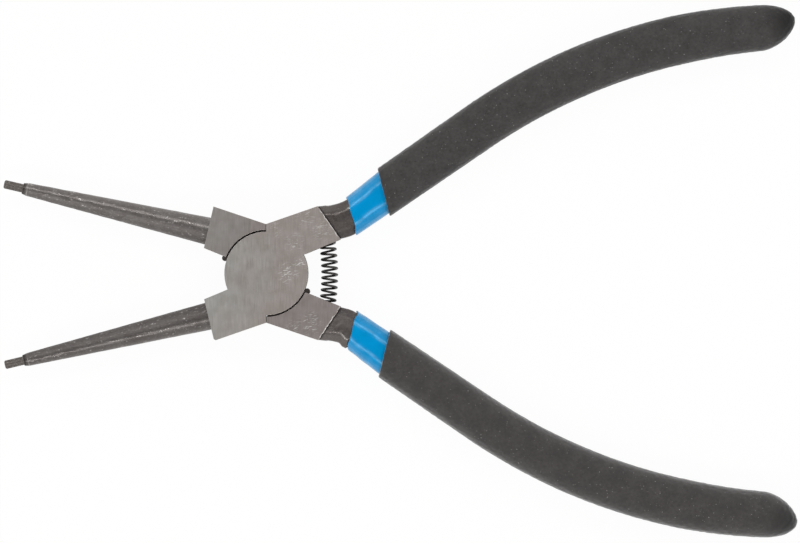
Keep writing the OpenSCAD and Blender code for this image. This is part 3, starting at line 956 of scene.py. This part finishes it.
def grip_rings(points):
    """Rings of the grip: a quarter round for the lip, ovals whose width swells and falls along the handle,
    and a nose whose ovals shrink as a power of the distance from its end and move outwards."""
    spin = (np.arange(points) + 0.5) * 2 * np.pi / points
    bulge_v = np.sign(np.cos(spin)) * np.abs(np.cos(spin)) ** (2 / oval_power)
    bulge_z = np.sign(np.sin(spin)) * np.abs(np.sin(spin)) ** (2 / oval_power)
    turn = np.linspace(0, np.pi / 2, lip_rows)
    body = np.linspace(grip_start + lip_round, nose_start, body_rows)[1:]
    nose = 1 - (1 - np.linspace(0, nose_close, nose_rows)[1:]) ** 2
    s = np.concatenate([grip_start + lip_round * (1 - np.cos(turn)), body, nose_start + nose_l * nose])
    inset = np.concatenate([lip_round * (1 - np.sin(turn)), np.zeros(len(body) + len(nose))]) + relief_room
    past = share(s, nose_start, grip_end)
    width = grip_w + (grip_mid_w - grip_w) * share(s, grip_start, (grip_start + grip_end) / 2)
    tail = share(np.minimum(s, nose_start), handle_l - grip_over, grip_end)
    width = width + (grip_tail_w - width) * tail
    size = (1 - past ** 2) ** nose_power
    v = nose_shift * past[:, None] ** 2 + ((width / 2 - inset) * size)[:, None] * bulge_v
    z = ((grip_half_t - inset) * size)[:, None] * bulge_z
    return on_handle(s, v, z)


def grip_hollow():
    """Rings of the hollow that covers the sleeve, from the tail back to the lip."""
    grow = 2 * fit_gap + sleeve_wall
    s = np.concatenate([np.linspace(grip_start, handle_straight, hollow_rows)[:-1],
                        np.linspace(handle_straight, handle_l - tail_round, hollow_rows)])
    return np.concatenate([bar_tail(grow, sleeve_corner), bar_rings(s, grow, sleeve_corner)[::-1]])


def grey_foam(name, dark, light, bloom, spread):
    """Foamed vinyl: matt dark grey, finely pebbled, with a few light specks and dark pores, a soft light
    bloom at grazing angles and painted shade on the nose."""
    material = finish(name, {"Specular IOR Level": 0.25, "Sheen Weight": bloom, "Sheen Roughness": spread})
    pebbles = grain(material, even(pebble), detail=3)
    specks = grain(material, even(speck), detail=0)
    clouds = grain(material, even(foam_cloud), detail=4)
    tone = graded(material, clouds, (0.35, dark), (0.65, light))
    shade = graded(material, pebbles, (0.3, pebble_shade), (0.65, white))
    foam = layered(material, 1.0, tone, shade, "MULTIPLY")
    foam = layered(material, ranged(material, specks, 0.8, 0.85, 0.0, 0.6), foam, speck_light)
    foam = layered(material, ranged(material, specks, 0.22, 0.17, 0.0, 0.7), foam, pore_dark)
    # Painted shade: the nose of each grip is darkened round a point just inside its end.
    end = on_handle(np.array([grip_end - nose_shade_in]), np.array([[nose_shift]]), np.zeros((1, 1)))[0, 0]
    for way in (1, -1):
        nose_shade = near(material, tuple(end * [1, way, 1]), nose_shade_r, 1.0)
        foam = layered(material, nose_shade, foam, nose_painted_shade, "MULTIPLY")
    feed(material, {"Base Color": foam, "Roughness": ranged(material, pebbles, 0.3, 0.7, 0.65, 0.85),
                    "Normal": embossed(material, pebbles, pebble_depth)})
    return material


# The grip of the rear lever is a shade darker under a stronger and wider bloom.
rear_foam = grey_foam("rear_foam", display(60, 57, 56), display(69, 66, 64), bloom=0.6, spread=0.48)
front_foam = grey_foam("front_foam", display(62, 60, 59), display(71, 69, 68), bloom=0.4, spread=0.4)
for lever, place, foam, seed in (("rear", turned_over, rear_foam, 17), ("front", np.asarray, front_foam, 19)):
    rings = place(np.concatenate([grip_hollow(), grip_rings(grip_sides)]))
    grip = bpy.data.objects.new(lever + "_grey_grip", skin(lever + "_grey_grip", rings))
    raised(grip.data, grip_relief * ripple(of_points(grip.data), grip_relief_l, seed))
    grip.data.set_sharp_from_angle(angle=grip_crease)
    grip.data.materials.append(foam)
    bpy.context.scene.collection.objects.link(grip)
    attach(grip, lever + "_lever")
    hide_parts(lever + "_grip")

# The pliers lie on a plain white table under two long softboxes, one over each handle, in a pale room whose
# ceiling is darker than its walls. The table shows white to the camera and in the steel, and keeps a shadow.
table_size = 12.0
table_drop = 0.03 * MM
table_glow = 0.96
table_tone = (0.9, 0.9, 0.9, 1.0)
walls = 1.0
ceiling = 0.4
softbox_l = 1.6
softbox_w = 0.09
softbox_away = 0.78
softbox_tilt = math.radians(35)
softbox_power = 2.6
table_mesh = bpy.data.meshes.new("table")
corners = np.array([[-1, -1], [1, -1], [1, 1], [-1, 1]]) * table_size / 2
table_mesh.from_pydata(np.column_stack([corners, np.full(4, -table_drop)]).tolist(), [], [[0, 1, 2, 3]])
table = bpy.data.objects.new("table", table_mesh)
bpy.context.scene.collection.objects.link(table)
table_finish = finish("white_table", {"Base Color": table_tone, "Roughness": 0.9, "Specular IOR Level": 0.0})
rays = add(table_finish, "LightPath", {}).outputs
seen = worked(table_finish, "MAXIMUM", rays["Is Camera Ray"], rays["Is Glossy Ray"])
seen = worked(table_finish, "MAXIMUM", seen, rays["Is Transmission Ray"])
seen = worked(table_finish, "MULTIPLY", seen, table_glow)
glow = add(table_finish, "Emission", {"Color": white, "Strength": 1.0}).outputs[0]
board = table_finish.node_tree.nodes["Principled BSDF"].outputs[0]
surface = add(table_finish, "MixShader", {0: seen, 1: board, 2: glow}).outputs[0]
table_finish.node_tree.links.new(surface, table_finish.node_tree.nodes["Material Output"].inputs["Surface"])
table_mesh.materials.append(table_finish)
room = bpy.data.worlds.new("pale_room")
room.use_nodes = True
upward = add(room, "SeparateXYZ", {0: add(room, "TexCoord", {}).outputs["Generated"]}).outputs["Z"]
backdrop = room.node_tree.nodes["Background"]
backdrop.inputs["Color"].default_value = white
room.node_tree.links.new(ranged(room, upward, 0.0, 1.0, walls, ceiling), backdrop.inputs["Strength"])
bpy.context.scene.world = room
for name, way in (("upper_softbox", 1), ("lower_softbox", -1)):
    lamp = bpy.data.lights.new(name, "AREA")
    lamp.shape = "RECTANGLE"
    lamp.size = softbox_l
    lamp.size_y = softbox_w
    lamp.energy = softbox_power
    softbox = bpy.data.objects.new(name, lamp)
    softbox.location = (0, way * softbox_away * math.sin(softbox_tilt), softbox_away * math.cos(softbox_tilt))
    softbox.rotation_euler = (-way * softbox_tilt, 0, 0)
    softbox.visible_camera = False
    bpy.context.scene.collection.objects.link(softbox)
